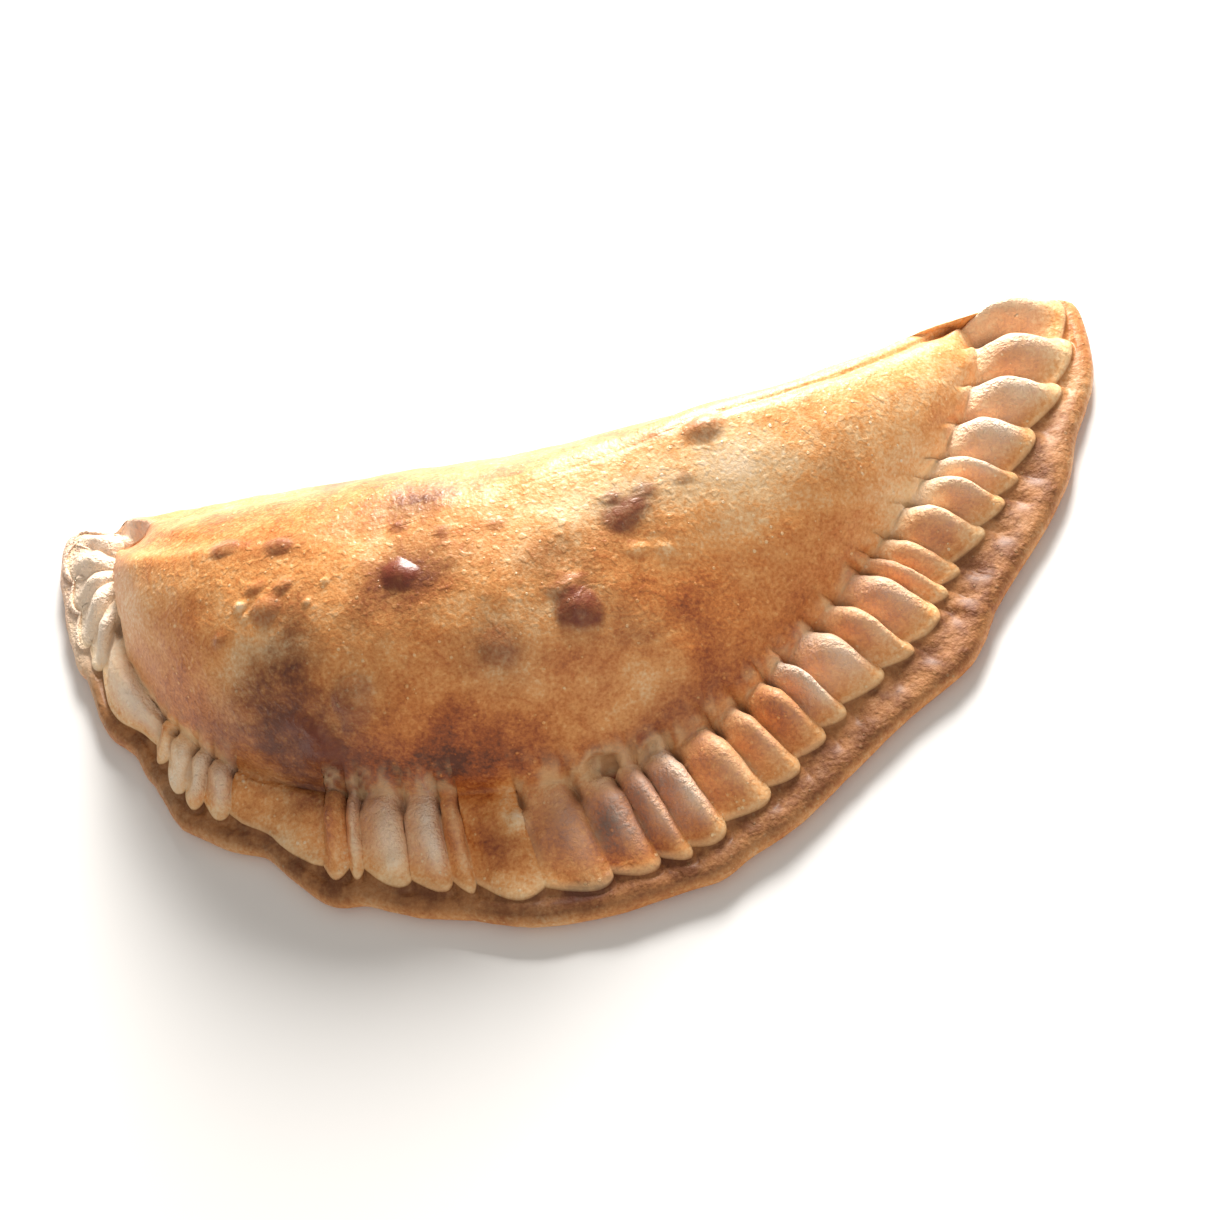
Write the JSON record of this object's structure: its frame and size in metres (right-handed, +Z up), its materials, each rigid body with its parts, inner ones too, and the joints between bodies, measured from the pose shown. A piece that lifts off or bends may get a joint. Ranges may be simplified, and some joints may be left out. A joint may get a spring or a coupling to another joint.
{
  "type": "calzone",
  "caption": "Baked calzone: a half-moon of folded dough, puffed into a dome behind a curved rim of hand-pinched pleats, flat underneath.",
  "frame": {"origin": "on the flat underside, under the middle of the calzone's box", "axes": "+X runs along the folded side towards the drawn-out tip, -Y points to the middle of the pleated rim, +Z is up out of the dome"},
  "size_m": [0.2828, 0.1438, 0.0494],
  "materials": {
    "baked_dough": "golden-brown baked dough with a soft sheen and a dusting of flour"
  },
  "bodies": {
    "root": {"crust": "baked_dough"}
  },
  "joints": []
}
